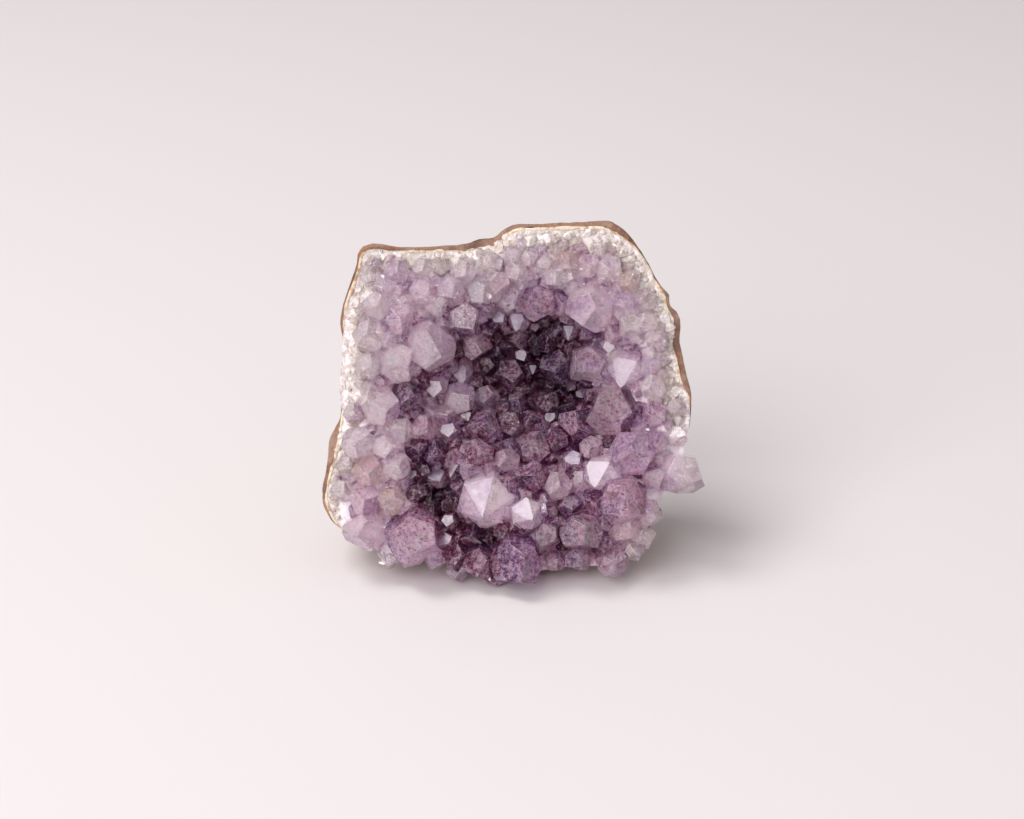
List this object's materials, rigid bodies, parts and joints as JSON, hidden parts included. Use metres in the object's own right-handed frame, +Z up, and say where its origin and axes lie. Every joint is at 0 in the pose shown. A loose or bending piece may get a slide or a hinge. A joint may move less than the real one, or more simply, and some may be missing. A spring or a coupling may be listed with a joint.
{
  "type": "amethyst cluster",
  "caption": "Broken piece of a geode wall that stands on a flat base, with purple crystals on a white quartz bed inside a thin rock rind.",
  "frame": {"origin": "centre of the bounding box in X and Y, at the bottom, where the flat base rests", "axes": "+Z up, +X to the right seen from the crystal side, +Y away from the crystal side"},
  "size_m": [0.0809, 0.0465, 0.0711],
  "materials": {
    "host_rock": "weathered, rough",
    "chalcedony": "waxy",
    "amethyst": "natural crystal faces"
  },
  "bodies": {
    "root": {"host_rock_rind": "host_rock", "chalcedony_band": "chalcedony", "amethyst_druse": "amethyst"}
  },
  "joints": []
}
